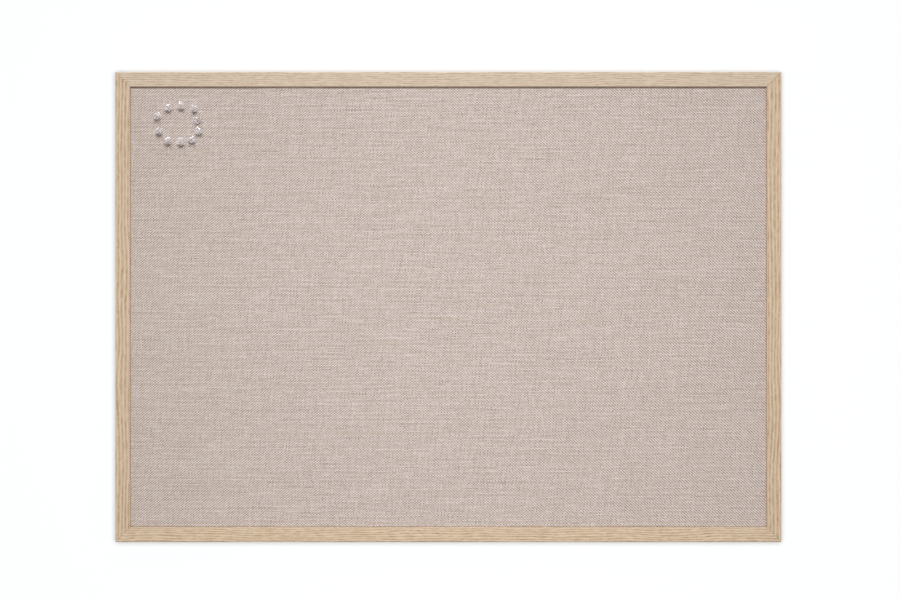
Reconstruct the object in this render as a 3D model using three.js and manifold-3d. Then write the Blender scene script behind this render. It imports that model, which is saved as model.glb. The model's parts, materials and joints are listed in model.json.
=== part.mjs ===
// A framed memo board: a fabric-covered pin panel in a mitred oak frame, with push pins.
// Millimetres, +Z up. The board hangs on a wall at y = 0 and its front faces -Y.
// The origin is the point on the wall behind the middle of the board.
import * as THREE from "three";
import { mergeVertices } from "three/addons/utils/BufferGeometryUtils.js";
import Module from "manifold-3d";

const wasm = await Module();
wasm.setup();

// Outline of the frame
const boardWidth = 850;
const boardHeight = 600;

// Oak moulding: a flat face with a lip over the panel and a rebate behind the lip
const mouldingFace = 19;
const mouldingDepth = 20;
const lipThickness = 3.2;
const rebateWidth = 6;
const outerArris = 1.2;
const sightArris = 1.2;
const backArris = 0.5;
const mitreGlueLine = 0.2;

// Panel: fabric stretched over a soft core and turned in at the back, then a hardboard backing
const fabricThickness = 0.8;
const fabricTurnIn = 28;
const fabricFold = 1;
const coreThickness = 9.4;
const backingThickness = 2;
const panelClearance = 1;

// Gap that a piece keeps to what it lies on
const seatGap = 0.2;

// V-nails across the glued mitres, driven in from the back
const vNailSheet = 0.6;
const vNailLeg = 5.5;
const vNailHalfAngle = THREE.MathUtils.degToRad(50);
const vNailDepth = 10;
const vNailSink = 0.3;

// Flex points: steel tabs driven into the rebate's wall, which hold the panel in
const pointSheet = 0.5;
const pointWidth = 6;
const pointLength = 15;
const pointBite = 6.5;
const pointTip = 2;
const pointsOnLongSide = 3;
const pointsOnShortSide = 2;

// D-ring hangers, screwed to the backs of the stiles
const hangerDrop = 110;
const strapSheet = 0.7;
const strapWidth = 7.5;
const ringWire = 1.8;
const ringCorner = 1.6;
const ringShoulder = 4;
const ringButtGap = 0.5;
const ringClearance = 0.15;
const ringRestGap = 0.3;
const ringToScrew = 1.6;
const screwShank = 3;
const screwLength = 11;
const screwTip = 3;
const screwHead = 5.5;
const screwHeadHeight = 1.8;
const recessWidth = 0.8;
const recessLength = 3;
const recessDepth = 1;

// Rubber bumpers at the lower corners, which hold the frame off the wall
const bumperDiameter = 10;
const bumperThickness = 4;
const bumperArris = 0.8;
const bumperFromEnd = 60;

// Push pins: a clear spool-shaped head moulded on a steel needle
const pinHeadHeight = 12;
const pinFlangeDiameter = 9.6;
const pinFlangeThickness = 1.3;
const pinShoulderDiameter = 6.6;
const pinWaistDiameter = 4.8;
const pinCapDiameter = 9;
const pinCapThickness = 2.1;
const pinCapDome = 0.9;
const pinFlare = 2.4;
const pinRim = 0.4;
const needleDiameter = 1.1;
const needleLength = 9.8;
const needleInHead = 7;
const needleTip = 2.2;

// The pins aren't pushed quite home: the low edge of each flange stands this far off the fabric
const pinStandOff = 1.8;

// Clearance round needles, screws and driven tabs in the holes that they make
const holeClearance = 0.25;

// The pins stand in a loose ring near the top left corner. Each has its place from the middle of
// the ring, and leans in degrees towards an angle seen from the front: 0 is right, 90 is up.
const pinRingFromLeft = 81.6;
const pinRingFromTop = 66;
const pinPlaces = [
  { x: -14.5, z: 20.5, lean: 7, towards: 150 },
  { x: 2, z: 22.5, lean: 6, towards: 75 },
  { x: 19, z: 19.5, lean: 5, towards: 30 },
  { x: 23, z: 5.5, lean: 8, towards: 255 },
  { x: 24.5, z: -9.5, lean: 3, towards: 115 },
  { x: 16, z: -20, lean: 5, towards: 325 },
  { x: 2, z: -23.5, lean: 6, towards: 65 },
  { x: -15, z: -22, lean: 5, towards: 70 },
  { x: -26, z: -9.5, lean: 5, towards: 30 },
  { x: -28.5, z: 9.5, lean: 7, towards: 50 },
];

// Facets round a full turn, and steps in a curve of a profile
const screwFacets = 16;
const pinFacets = 16;
const needleFacets = 10;
const wireFacets = 8;
const bumperFacets = 24;
const barrelSteps = 10;
const ringSteps = 48;
const profileSteps = 3;

// Where the layers lie, from the front of the frame to the wall
const frameBackY = -(bumperThickness + seatGap);
const frameFrontY = frameBackY - mouldingDepth;
const fabricFrontY = frameFrontY + lipThickness + seatGap;
const coreFrontY = fabricFrontY + fabricThickness + seatGap;
const coreBackY = coreFrontY + coreThickness;
const fabricBackY = coreBackY + seatGap + fabricThickness;
const backingFrontY = fabricBackY + seatGap;
const backingBackY = backingFrontY + backingThickness;
const pointFrontY = backingBackY + seatGap;

// What the rebate leaves of the moulding at the back, and the panel that fits in it
const backWidth = mouldingFace - rebateWidth;
const panelWidth = boardWidth - 2 * (backWidth + panelClearance);
const panelHeight = boardHeight - 2 * (backWidth + panelClearance);

// The hanger's ring turns in a barrel folded in the strap. Heights are from the frame's back.
const barrelInner = ringWire / 2 + ringClearance;
const barrelOuter = barrelInner + strapSheet;
const barrelHeight = seatGap + barrelOuter;
const strapTop = seatGap + 2 * strapSheet;
const ringHalfWidth = strapWidth / 2 + ringClearance + ringCorner;
const ringReach = ringShoulder + ringHalfWidth;
const ringLean = Math.asin((barrelHeight - ringWire / 2 - ringRestGap) / ringReach);
const screwDrop = ringReach + ringWire / 2 + ringToScrew + screwHead / 2;
const hangerZ = boardHeight / 2 - hangerDrop;
const screwZ = hangerZ - screwDrop;

// Materials
const oak = new THREE.MeshStandardMaterial({ color: 0xd0b896, roughness: 0.55, metalness: 0 });
const linen = new THREE.MeshStandardMaterial({ color: 0xc7b9b0, roughness: 0.95, metalness: 0 });
const fibreboard = new THREE.MeshStandardMaterial({ color: 0xa98d68, roughness: 0.95, metalness: 0 });
const hardboard = new THREE.MeshStandardMaterial({ color: 0x7d5a3c, roughness: 0.7, metalness: 0 });
const steel = new THREE.MeshStandardMaterial({ color: 0xb9bbbd, roughness: 0.35, metalness: 1 });
const zinc = new THREE.MeshStandardMaterial({ color: 0xc9c6bd, roughness: 0.4, metalness: 1 });
const rubber = new THREE.MeshStandardMaterial({ color: 0x3a3a3a, roughness: 0.8, metalness: 0 });
const clearPlastic = new THREE.MeshStandardMaterial({
  color: 0xf4f6f8,
  roughness: 0.08,
  metalness: 0,
  transparent: true,
  opacity: 0.45,
});

// A closed geometry as a solid that can be joined and cut, and back again
function solidOf(geometry) {
  const bare = geometry.clone();
  bare.deleteAttribute("normal");
  bare.deleteAttribute("uv");
  const merged = mergeVertices(bare);
  const mesh = new wasm.Mesh({
    numProp: 3,
    vertProperties: merged.attributes.position.array,
    triVerts: Uint32Array.from(merged.index.array),
  });
  return new wasm.Manifold(mesh);
}

function geometryOf(solid) {
  const mesh = solid.getMesh();
  const geometry = new THREE.BufferGeometry();
  geometry.setAttribute("position", new THREE.BufferAttribute(mesh.vertProperties, 3));
  geometry.setIndex(new THREE.BufferAttribute(mesh.triVerts, 1));
  geometry.computeVertexNormals();
  return geometry;
}

function cut(geometry, cutters) {
  const left = cutters.reduce((solid, cutter) => solid.subtract(solidOf(cutter)), solidOf(geometry));
  return geometryOf(left);
}

function addPiece(group, name, geometry, material) {
  const mesh = new THREE.Mesh(geometry, material);
  mesh.name = name;
  group.add(mesh);
  return mesh;
}

// A shape drawn in X and Z, made solid from y = front to y = back
function slab(shape, front, back, curveSegments = profileSteps) {
  const depth = back - front;
  const solid = new THREE.ExtrudeGeometry(shape, { depth, bevelEnabled: false, curveSegments });
  return solid.rotateX(Math.PI / 2).translate(0, back, 0);
}

function rectangle(width, height) {
  const outline = new THREE.Shape();
  outline.moveTo(-width / 2, -height / 2);
  outline.lineTo(width / 2, -height / 2);
  outline.lineTo(width / 2, height / 2);
  outline.lineTo(-width / 2, height / 2);
  outline.closePath();
  return outline;
}

// A round bar along Y
function bar(radius, front, back, facets) {
  const solid = new THREE.CylinderGeometry(radius, radius, back - front, facets);
  return solid.translate(0, (front + back) / 2, 0);
}

// Section of the moulding: x goes inwards from the outer edge, y goes back from the front
function mouldingSection() {
  const section = new THREE.Shape();
  section.moveTo(outerArris, 0);
  section.lineTo(mouldingFace - sightArris, 0);
  section.absarc(mouldingFace - sightArris, sightArris, sightArris, -Math.PI / 2, 0);
  section.lineTo(mouldingFace, lipThickness);
  section.lineTo(backWidth, lipThickness);
  section.lineTo(backWidth, mouldingDepth);
  section.lineTo(backArris, mouldingDepth);
  section.lineTo(0, mouldingDepth - backArris);
  section.lineTo(0, outerArris);
  section.absarc(outerArris, outerArris, outerArris, Math.PI, 1.5 * Math.PI);
  return section;
}

// A length of moulding along X, with its outer edge at z = 0 and the panel towards +Z. The ends
// are mitred: each point there stands as far from the corner as it lies from the outer edge.
function mitredMoulding(length) {
  const moulding = new THREE.ExtrudeGeometry(mouldingSection(), {
    depth: length,
    bevelEnabled: false,
    curveSegments: profileSteps,
  });
  const points = moulding.attributes.position;
  const glueAllowance = mitreGlueLine / Math.SQRT2;
  for (let i = 0; i < points.count; i += 1) {
    const inwards = points.getX(i);
    const back = points.getY(i);
    const end = points.getZ(i) < length / 2 ? 1 : -1;
    points.setXYZ(i, end * (length / 2 - inwards - glueAllowance), frameFrontY + back, inwards);
  }
  return moulding;
}

// A V-nail at the corner where one moulding runs along +X and the other along +Z. Its bend is on
// the mitre, its legs lie in the two mouldings, and it stands in the middle of their backs.
function vNail(clearance) {
  const half = vNailSheet / 2 + clearance;
  const leg = vNailLeg + clearance;
  const mitre = new THREE.Vector2(1, 1).normalize();
  const legDirection = (side) => {
    return mitre.clone().negate().rotateAround(new THREE.Vector2(), side * vNailHalfAngle);
  };
  const reach = -vNailLeg * Math.min(legDirection(1).x, legDirection(-1).x);
  const bendAt = (backWidth + reach) / 2;
  const bend = new THREE.Vector2(bendAt, bendAt);
  const bendWall = half / Math.sin(vNailHalfAngle);
  const legEnd = (side, wall) => {
    const along = legDirection(side);
    const across = new THREE.Vector2(-along.y, along.x).multiplyScalar(side * wall * half);
    return bend.clone().addScaledVector(along, leg).add(across);
  };
  const outline = new THREE.Shape([
    bend.clone().addScaledVector(mitre, bendWall),
    legEnd(1, 1),
    legEnd(1, -1),
    bend.clone().addScaledVector(mitre, -bendWall),
    legEnd(-1, -1),
    legEnd(-1, 1),
  ]);
  const back = frameBackY - vNailSink;
  return slab(outline, back - vNailDepth - clearance, back + (clearance > 0 ? 2 * vNailSink : 0));
}

// A flex point on a moulding along X: its tip is in the rebate's wall, its tail behind the backing
function flexPoint(along, clearance) {
  const half = pointWidth / 2 + clearance;
  const tip = backWidth - pointBite - clearance;
  const tail = backWidth - pointBite + pointLength;
  const outline = new THREE.Shape();
  outline.moveTo(along, tip);
  outline.lineTo(along + half, tip + pointTip);
  outline.lineTo(along + half, tail);
  outline.lineTo(along - half, tail);
  outline.lineTo(along - half, tip + pointTip);
  outline.closePath();
  return slab(outline, pointFrontY - clearance, pointFrontY + pointSheet + clearance);
}

// Even places along a length, counted from its middle
function spread(length, count) {
  return Array.from({ length: count }, (_, i) => length * ((i + 0.5) / count - 0.5));
}

// One side of the frame in a group turned to its place: the moulding, the V-nail at its first
// corner, and its flex points. A stile also has a pilot hole for its hanger's screw.
function addSide(board, side) {
  const group = new THREE.Group();
  group.rotation.y = side.turn;
  group.position.set(side.x, 0, side.z);
  board.add(group);
  const firstCorner = -side.length / 2;
  const places = spread(side.length, side.points);
  const slots = [
    vNail(holeClearance).translate(firstCorner, 0, 0),
    vNail(holeClearance).rotateY(-Math.PI / 2).translate(-firstCorner, 0, 0),
    ...places.map((along) => flexPoint(along, holeClearance)),
    ...side.pilots.map((along) => pilotHole().translate(along, 0, backWidth / 2)),
  ];
  addPiece(group, side.moulding, cut(mitredMoulding(side.length), slots), oak);
  addPiece(group, `v_nail_${side.firstCorner}`, vNail(0).translate(firstCorner, 0, 0), zinc);
  places.forEach((along, i) => {
    addPiece(group, `flex_point_${side.name}_${i + 1}`, flexPoint(along, 0), steel);
  });
}

function pilotHole() {
  const depth = screwLength - strapTop - seatGap + holeClearance;
  const mouth = frameBackY + seatGap;
  return bar(screwShank / 2 + holeClearance, frameBackY - depth, mouth, screwFacets);
}

function addFrame(board) {
  const longSide = { length: boardWidth, points: pointsOnLongSide, pilots: [], x: 0 };
  const shortSide = { length: boardHeight, points: pointsOnShortSide, z: 0 };
  addSide(board, {
    ...longSide,
    name: "bottom",
    moulding: "bottom_rail",
    firstCorner: "bottom_left",
    turn: 0,
    z: -boardHeight / 2,
  });
  addSide(board, {
    ...shortSide,
    name: "right",
    moulding: "right_stile",
    firstCorner: "bottom_right",
    turn: -Math.PI / 2,
    x: boardWidth / 2,
    pilots: [screwZ],
  });
  addSide(board, {
    ...longSide,
    name: "top",
    moulding: "top_rail",
    firstCorner: "top_right",
    turn: Math.PI,
    z: boardHeight / 2,
  });
  addSide(board, {
    ...shortSide,
    name: "left",
    moulding: "left_stile",
    firstCorner: "top_left",
    turn: Math.PI / 2,
    x: -boardWidth / 2,
    pilots: [-screwZ],
  });
}

// The fabric goes round the panel's edges in a soft fold and leaves the core's back open
function fabricCover() {
  const wrapped = new THREE.ExtrudeGeometry(
    rectangle(panelWidth - 2 * fabricFold, panelHeight - 2 * fabricFold),
    {
      depth: fabricBackY - fabricFrontY - 2 * fabricFold,
      bevelThickness: fabricFold,
      bevelSize: fabricFold,
      bevelSegments: profileSteps,
    },
  );
  wrapped.rotateX(Math.PI / 2).translate(0, fabricBackY - fabricFold, 0);
  const pocketWidth = panelWidth - 2 * fabricThickness;
  const pocketHeight = panelHeight - 2 * fabricThickness;
  const pocket = rectangle(pocketWidth, pocketHeight);
  const turnedIn = 2 * (fabricTurnIn - fabricThickness);
  const opening = rectangle(pocketWidth - turnedIn, pocketHeight - turnedIn);
  return cut(wrapped, [
    slab(pocket, fabricFrontY + fabricThickness, coreBackY + seatGap),
    slab(opening, coreBackY, fabricBackY + seatGap),
  ]);
}

// The panel's layers. The needles have made a hole in each layer that they reach.
function addPanel(board, pins) {
  const needleHoles = pins.map((pin) => needleHole().applyMatrix4(pin.matrix));
  const coreSide = fabricThickness + seatGap;
  const core = rectangle(panelWidth - 2 * coreSide, panelHeight - 2 * coreSide);
  const backing = rectangle(panelWidth, panelHeight);
  addPiece(board, "fabric_cover", cut(fabricCover(), needleHoles), linen);
  addPiece(board, "fibreboard_core", cut(slab(core, coreFrontY, coreBackY), needleHoles), fibreboard);
  addPiece(board, "backing_board", cut(slab(backing, backingFrontY, backingBackY), needleHoles), hardboard);
}

// The strap is one sheet folded round the ring's bar, with both legs pressed flat under the screw.
// It hangs down from the ring's axis, which lies along X above the origin.
function hangerStrap() {
  const meet = Math.PI + Math.asin((barrelHeight - strapTop) / barrelOuter);
  const foot = -(screwDrop + strapWidth / 2);
  const fold = new THREE.Shape();
  fold.moveTo(foot, seatGap);
  fold.lineTo(0, seatGap);
  fold.absarc(0, barrelHeight, barrelOuter, -Math.PI / 2, meet);
  fold.lineTo(foot, strapTop);
  fold.closePath();
  fold.holes.push(new THREE.Path().absarc(0, barrelHeight, barrelInner, 0, 2 * Math.PI, true));
  const folded = new THREE.ExtrudeGeometry(fold, {
    depth: strapWidth,
    bevelEnabled: false,
    curveSegments: barrelSteps,
  });
  folded.translate(0, 0, -strapWidth / 2).rotateY(-Math.PI / 2);

  const outline = new THREE.Shape();
  outline.moveTo(strapWidth, 2 * barrelOuter);
  outline.lineTo(-strapWidth, 2 * barrelOuter);
  outline.lineTo(-strapWidth / 2, -screwDrop);
  outline.absarc(0, -screwDrop, strapWidth / 2, Math.PI, 2 * Math.PI);
  outline.closePath();
  const rounded = solidOf(folded).intersect(solidOf(slab(outline, 0, 2 * barrelHeight, barrelSteps)));
  const screwHole = bar(screwShank / 2 + holeClearance, 0, 2 * strapTop, screwFacets);
  return cut(geometryOf(rounded), [screwHole.translate(0, 0, -screwDrop)]);
}

// The ring's wire follows a D that is drawn in X and Z, with its butted ends inside the barrel
class WirePath extends THREE.Curve {
  constructor(outline) {
    super();
    this.outline = outline;
  }

  getPoint(t, target = new THREE.Vector3()) {
    const point = this.outline.getPointAt(t);
    return target.set(point.x, 0, point.y);
  }
}

function hangerRing() {
  const cornerX = ringHalfWidth - ringCorner;
  const outline = new THREE.Path();
  outline.moveTo(ringButtGap / 2, 0);
  outline.lineTo(cornerX, 0);
  outline.absarc(cornerX, ringCorner, ringCorner, -Math.PI / 2, 0);
  outline.lineTo(ringHalfWidth, ringShoulder);
  outline.absarc(0, ringShoulder, ringHalfWidth, 0, Math.PI);
  outline.lineTo(-ringHalfWidth, ringCorner);
  outline.absarc(-cornerX, ringCorner, ringCorner, Math.PI, 1.5 * Math.PI);
  outline.lineTo(-ringButtGap / 2, 0);
  const wire = new THREE.Shape();
  wire.absarc(0, 0, ringWire / 2, 0, 2 * Math.PI);
  return new THREE.ExtrudeGeometry(wire, {
    extrudePath: new WirePath(outline),
    steps: ringSteps,
    curveSegments: wireFacets / 2,
  });
}

// A pan head screw with its tip towards the front and the underside of its head at y = 0
function hangerScrew() {
  const headRadius = screwHead / 2;
  const profile = new THREE.Path();
  profile.moveTo(0, -screwLength);
  profile.lineTo(screwShank / 2, screwTip - screwLength);
  profile.lineTo(screwShank / 2, 0);
  profile.lineTo(headRadius, 0);
  profile.quadraticCurveTo(headRadius, screwHeadHeight, headRadius / 2, screwHeadHeight);
  profile.lineTo(0, screwHeadHeight);
  const blade = new THREE.BoxGeometry(recessWidth, 2 * recessDepth, recessLength);
  blade.translate(0, screwHeadHeight, 0);
  const screw = new THREE.LatheGeometry(profile.getPoints(profileSteps), screwFacets);
  return cut(screw, [blade, blade.clone().rotateY(Math.PI / 2)]);
}

function addHanger(board, name, x) {
  const hanger = new THREE.Group();
  hanger.position.set(x, frameBackY, hangerZ);
  board.add(hanger);
  addPiece(hanger, `hanger_strap_${name}`, hangerStrap(), zinc);
  const ring = addPiece(hanger, `hanger_ring_${name}`, hangerRing(), zinc);
  ring.position.y = barrelHeight;
  ring.rotation.x = ringLean;
  const screw = addPiece(hanger, `hanger_screw_${name}`, hangerScrew(), steel);
  screw.position.set(0, strapTop + seatGap, -screwDrop);
}

function addBumper(board, name, x) {
  const radius = bumperDiameter / 2;
  const profile = new THREE.Path();
  profile.moveTo(0, -bumperThickness);
  profile.lineTo(radius, -bumperThickness);
  profile.lineTo(radius, -bumperArris);
  profile.quadraticCurveTo(radius, 0, radius - bumperArris, 0);
  profile.lineTo(0, 0);
  const dot = new THREE.LatheGeometry(profile.getPoints(profileSteps), bumperFacets);
  const bumper = addPiece(board, `wall_bumper_${name}`, dot, rubber);
  bumper.position.set(x, 0, (backWidth - boardHeight) / 2);
}

// A pin's own frame has its needle along -Y and the underside of its flange at y = 0
function pinHead() {
  const bore = needleDiameter / 2 + holeClearance;
  const boreEnd = needleInHead + holeClearance;
  const flange = pinFlangeDiameter / 2;
  const shoulder = pinShoulderDiameter / 2;
  const waist = pinWaistDiameter / 2;
  const cap = pinCapDiameter / 2;
  const underCap = pinHeadHeight - pinCapThickness;
  const capEdge = pinHeadHeight - pinCapDome;
  const profile = new THREE.Path();
  profile.moveTo(0, boreEnd);
  profile.lineTo(bore, boreEnd);
  profile.lineTo(bore, 0);
  profile.lineTo(flange - pinRim, 0);
  profile.lineTo(flange, pinRim);
  profile.lineTo(flange, pinFlangeThickness - pinRim);
  profile.lineTo(flange - pinRim, pinFlangeThickness);
  profile.lineTo(shoulder, pinFlangeThickness);
  profile.quadraticCurveTo(waist, pinFlangeThickness, waist, pinFlangeThickness + pinFlare);
  profile.lineTo(waist, underCap - pinFlare);
  profile.quadraticCurveTo(waist, underCap, cap - pinRim, underCap);
  profile.lineTo(cap, underCap + pinRim);
  profile.lineTo(cap, capEdge - pinRim);
  profile.lineTo(cap - pinRim, capEdge);
  profile.quadraticCurveTo(cap / 2, pinHeadHeight, 0, pinHeadHeight);
  return new THREE.LatheGeometry(profile.getPoints(profileSteps), pinFacets);
}

function pinNeedle() {
  const radius = needleDiameter / 2;
  const profile = [
    new THREE.Vector2(0, -needleLength),
    new THREE.Vector2(radius, needleTip - needleLength),
    new THREE.Vector2(radius, needleInHead),
    new THREE.Vector2(0, needleInHead),
  ];
  return new THREE.LatheGeometry(profile, needleFacets);
}

function needleHole() {
  const depth = needleLength + pinStandOff + holeClearance;
  return bar(needleDiameter / 2 + holeClearance, -depth, pinFlangeDiameter / 2, needleFacets);
}

// A leaning pin can be pushed in until the low edge of its flange meets the fabric
function placedPin(place) {
  const lean = THREE.MathUtils.degToRad(place.lean);
  const towards = THREE.MathUtils.degToRad(place.towards);
  const axis = new THREE.Vector3(
    Math.sin(lean) * Math.cos(towards),
    -Math.cos(lean),
    Math.sin(lean) * Math.sin(towards),
  );
  const lift = (pinFlangeDiameter / 2) * Math.sin(lean) + pinStandOff;
  const pin = new THREE.Group();
  pin.quaternion.setFromUnitVectors(new THREE.Vector3(0, 1, 0), axis);
  pin.position.set(
    pinRingFromLeft - boardWidth / 2 + place.x,
    fabricFrontY - lift,
    boardHeight / 2 - pinRingFromTop + place.z,
  );
  pin.updateMatrix();
  return pin;
}

function addPins(board, pins) {
  pins.forEach((pin, i) => {
    const name = `push_pin_${String(i + 1).padStart(2, "0")}`;
    addPiece(pin, `${name}_head`, pinHead(), clearPlastic);
    addPiece(pin, `${name}_needle`, pinNeedle(), steel);
    board.add(pin);
  });
}

const memoBoard = new THREE.Group();
const pins = pinPlaces.map(placedPin);
addFrame(memoBoard);
addPanel(memoBoard, pins);
addHanger(memoBoard, "left", (backWidth - boardWidth) / 2);
addHanger(memoBoard, "right", (boardWidth - backWidth) / 2);
addBumper(memoBoard, "left", bumperFromEnd - boardWidth / 2);
addBumper(memoBoard, "right", boardWidth / 2 - bumperFromEnd);
addPins(memoBoard, pins);

export default memoBoard;
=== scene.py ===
# %% [markdown]
# # A framed memo board
# The object is a pin board for a wall. Woven cloth is stretched over a soft core, a mitred oak
# frame holds the panel, and ten clear push pins stand in the cloth. The construction is already
# modelled at full size in metres, so this lesson loads it as a fixed frame and gives it its looks.
# Pieces whose shape is right keep their mesh and only get a finish. Round and soft pieces are
# made again with a finer mesh, in the same place.

# %% Load the frame
import json
import math
from collections import namedtuple

import bmesh
import bpy
from mathutils import Matrix, Vector
from mathutils.geometry import interpolate_bezier


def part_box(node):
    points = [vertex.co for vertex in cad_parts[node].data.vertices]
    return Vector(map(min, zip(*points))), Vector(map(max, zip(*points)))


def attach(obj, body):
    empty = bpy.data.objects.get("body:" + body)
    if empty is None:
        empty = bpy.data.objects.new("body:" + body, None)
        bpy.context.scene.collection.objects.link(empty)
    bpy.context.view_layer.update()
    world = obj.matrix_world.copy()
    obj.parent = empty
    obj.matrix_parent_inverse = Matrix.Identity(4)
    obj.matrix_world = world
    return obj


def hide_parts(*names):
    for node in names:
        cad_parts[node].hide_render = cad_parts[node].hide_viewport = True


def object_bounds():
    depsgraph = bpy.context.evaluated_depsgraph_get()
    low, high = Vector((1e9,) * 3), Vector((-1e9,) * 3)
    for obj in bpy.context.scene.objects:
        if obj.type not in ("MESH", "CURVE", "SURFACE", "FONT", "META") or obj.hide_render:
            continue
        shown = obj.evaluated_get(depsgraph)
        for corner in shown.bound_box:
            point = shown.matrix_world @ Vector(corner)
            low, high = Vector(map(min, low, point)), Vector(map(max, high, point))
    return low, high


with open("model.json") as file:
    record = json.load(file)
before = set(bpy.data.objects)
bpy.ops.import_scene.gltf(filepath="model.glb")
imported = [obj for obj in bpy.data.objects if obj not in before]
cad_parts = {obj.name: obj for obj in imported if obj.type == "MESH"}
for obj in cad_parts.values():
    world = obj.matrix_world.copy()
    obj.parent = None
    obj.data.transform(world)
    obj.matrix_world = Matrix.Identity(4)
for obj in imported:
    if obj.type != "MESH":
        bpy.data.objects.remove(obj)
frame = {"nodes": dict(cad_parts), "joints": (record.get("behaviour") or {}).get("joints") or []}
cad_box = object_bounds()
scene = bpy.context.scene
scene.view_settings.view_transform = "Standard"

MM = 0.001
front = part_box("top_rail")[0].y
print("The frame's front is at y =", round(front, 4))

# %% [markdown]
# ## Camera
# The picture looks straight at the board from a distance, with almost no perspective. An
# orthographic camera would have none at all, so a long lens is used. Its distance follows from the
# width that the picture covers at the frame's front, so the frame's outline lands where it should
# without any shift of the lens.

# %% Camera
LENS = 135
SENSOR = 36
VIEW_WIDTH = 1.1487
VIEW_RIGHT = 2.04 * MM
VIEW_UP = 8.93 * MM

camera_data = bpy.data.cameras.new("camera")
camera_data.lens = LENS
camera_data.sensor_width = SENSOR
camera = bpy.data.objects.new("camera", camera_data)
camera.location = (VIEW_RIGHT, front - VIEW_WIDTH * LENS / SENSOR, VIEW_UP)
camera.rotation_euler = (math.radians(90), 0, 0)
scene.collection.objects.link(camera)
scene.camera = camera
print("The camera stands", round(front - camera.location.y, 3), "m in front of the frame")

# %% [markdown]
# ## Shader values
# A node tree is easier to read as a formula. This small class holds one output socket. Adding or
# multiplying two of them adds a Math node, and the reflected forms let a plain number come first.
# Every other node comes from one method, which takes the node's type, its settings and its sockets.


# %% Shader values
class Shade:
    """One output of a material's nodes."""

    def __init__(self, tree, socket=None):
        self.tree = tree
        self.socket = socket

    def node(self, kind, settings=None, sockets=None, output=0):
        """Add a node, set it up, fill its sockets and return one of its outputs."""
        made = self.tree.nodes.new("ShaderNode" + kind)
        for name, value in (settings or {}).items():
            setattr(made, name, value)
        for name, value in (sockets or {}).items():
            if isinstance(value, Shade):
                self.tree.links.new(value.socket, made.inputs[name])
            else:
                made.inputs[name].default_value = value
        return Shade(self.tree, made.outputs[output] if made.outputs else None)

    def other(self, output):
        """Another output of the same node."""
        return Shade(self.tree, self.socket.node.outputs[output])

    def math(self, operation, *others):
        return self.node("Math", {"operation": operation}, dict(enumerate((self, *others))))

    def __add__(self, other):
        return self.math("ADD", other)

    __radd__ = __add__

    def __mul__(self, other):
        return self.math("MULTIPLY", other)

    __rmul__ = __mul__

    def __truediv__(self, other):
        return self.math("DIVIDE", other)

    def __sub__(self, other):
        return self.math("SUBTRACT", other)

    def __rsub__(self, other):
        return self * -1 + other

    def parts(self):
        """The three numbers of a vector."""
        first = self.node("SeparateXYZ", {}, {"Vector": self}, "X")
        return first, first.other("Y"), first.other("Z")

    def vector(self, x, y, z):
        return self.node("CombineXYZ", {}, {"X": x, "Y": y, "Z": z})

    def noise(self, scale=1.0, detail=2.0, curl=0.0):
        """Cloudy values about 0.5 at the places that this vector gives."""
        sockets = {"Vector": self, "Scale": scale, "Detail": detail, "Distortion": curl}
        return self.node("TexNoise", {}, sockets, "Fac")

    def step(self, low, high):
        """0 below low and 1 above high, with a smooth rise between them."""
        settings = {"interpolation_type": "SMOOTHSTEP"}
        return self.node("MapRange", settings, {"Value": self, "From Min": low, "From Max": high})

    def mix(self, first, second):
        """The first colour where this is 0 and the second where it is 1."""
        return self.node("Mix", {"data_type": "RGBA"}, {0: self, 6: first, 7: second}, 2)

    def bump(self, depth):
        """A normal for heights from 0 to 1, depth metres apart."""
        return self.node("Bump", {}, {"Height": self, "Distance": depth})


def display_colour(red, green, blue):
    """A colour as a screen shows it, from 0 to 255, as the linear colour that a socket takes."""
    linear = [((c / 255 + 0.055) / 1.055) ** 2.4 for c in (red, green, blue)]
    return (*linear, 1.0)


def new_finish(name):
    """A material with no nodes yet, and the empty shade that its nodes start from."""
    material = bpy.data.materials.new(name)
    material.use_nodes = True
    material.node_tree.nodes.clear()
    return material, Shade(material.node_tree)


def surface(shade, **sockets):
    """End a material in one Principled shader. Names use _ for a space."""
    named = {name.replace("_", " "): value for name, value in sockets.items()}
    shader = shade.node("BsdfPrincipled", {}, named)
    shade.node("OutputMaterial", {}, {"Surface": shader})


print("Shader values are ready")

# %% [markdown]
# ## Lights
# Two wide soft boxes stand side by side, high in front of the board, and light the whole of it
# alike. One lamp at the camera would leave no shadow at the rails. From up there the rails throw a
# thin one on the cloth: dark under the top rail, where both lamps are hidden, and paler at the
# stiles, where one still shines in. The lamps are slightly cool. A lamp seen through a curved pin
# would leave bright specks of noise, so the lamps are hidden from rays inside the plastic. A lamp
# behind the wall is there for views of the back.

# %% Lights
STUDIO_COLOUR = (0.97, 1.0, 1.025)
RIGHT_PLACE = Vector((1.0, -4.0, 3.16))
RIGHT_WATTS = 4.74
LEFT_PLACE = Vector((-1.2, -4.0, 3.16))
LEFT_WATTS = 3.78
SIDE_AIM = Vector((0, front, -0.1))
SIDE_SIZE = (2.1, 0.95)
SIDE_SPREAD = 30
REAR_PLACE = Vector((0, 2.0, 1.2))
REAR_SIZE = (1.5, 1.5)
REAR_WATTS = 40
FULL_SPREAD = 180


def softbox(name, place, size, watts, aim=Vector((0, front, 0)), spread=FULL_SPREAD):
    data = bpy.data.lights.new(name, "AREA")
    data.shape = "ELLIPSE"
    data.size, data.size_y = size
    data.color = STUDIO_COLOUR
    data.energy = watts
    data.spread = math.radians(spread)
    lamp = bpy.data.objects.new(name, data)
    lamp.location = place
    lamp.rotation_euler = (aim - place).to_track_quat("-Z", "Y").to_euler()
    lamp.visible_transmission = False
    scene.collection.objects.link(lamp)
    return lamp


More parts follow.
